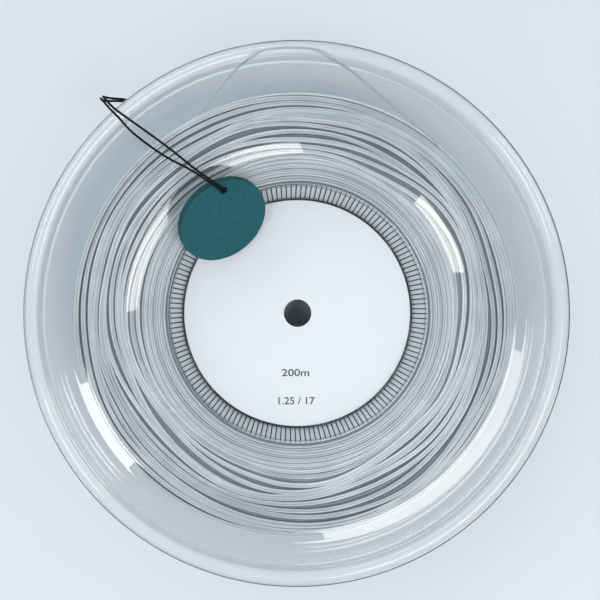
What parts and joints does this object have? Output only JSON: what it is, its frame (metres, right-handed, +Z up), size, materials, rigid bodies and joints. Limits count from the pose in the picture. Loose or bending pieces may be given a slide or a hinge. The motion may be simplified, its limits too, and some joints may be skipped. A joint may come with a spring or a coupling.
{
  "type": "string reel",
  "caption": "Clear two-piece spool wound with racket string, lying flat, with a paper label in its hub cup and a round tag on a cord over its rim.",
  "frame": {"origin": "on the spool's axis, in the plane of the rear rim that the reel lies on", "axes": "+Z up the spool's axis out of the front, +X to the right and +Y to the top of the reel as it is read from the front"},
  "size_m": [0.27, 0.27, 0.0601],
  "materials": {
    "clear_plastic": "clear, polished moulding",
    "label_paper": "coated white paper",
    "string": "glossy silver-grey monofilament",
    "tag": "satin, dark teal",
    "cord": "black waxed cord"
  },
  "bodies": {
    "reel": {"front_half": "clear_plastic", "rear_half": "clear_plastic", "front_label": "label_paper", "string_pack": "string", "string_outer_turns": "string", "string_free_end": "string", "tag_cord": "cord"},
    "tag": {"hang_tag": "tag", "tag_knot": "cord"}
  },
  "joints": [
    {"name": "tag_flip", "type": "hinge", "parent": "reel", "child": "tag", "pos_m": [-0.03654, 0.05942, 0.05293], "axis": [-0.7771, -0.6293, 0], "range_deg": [0, 55]}
  ]
}
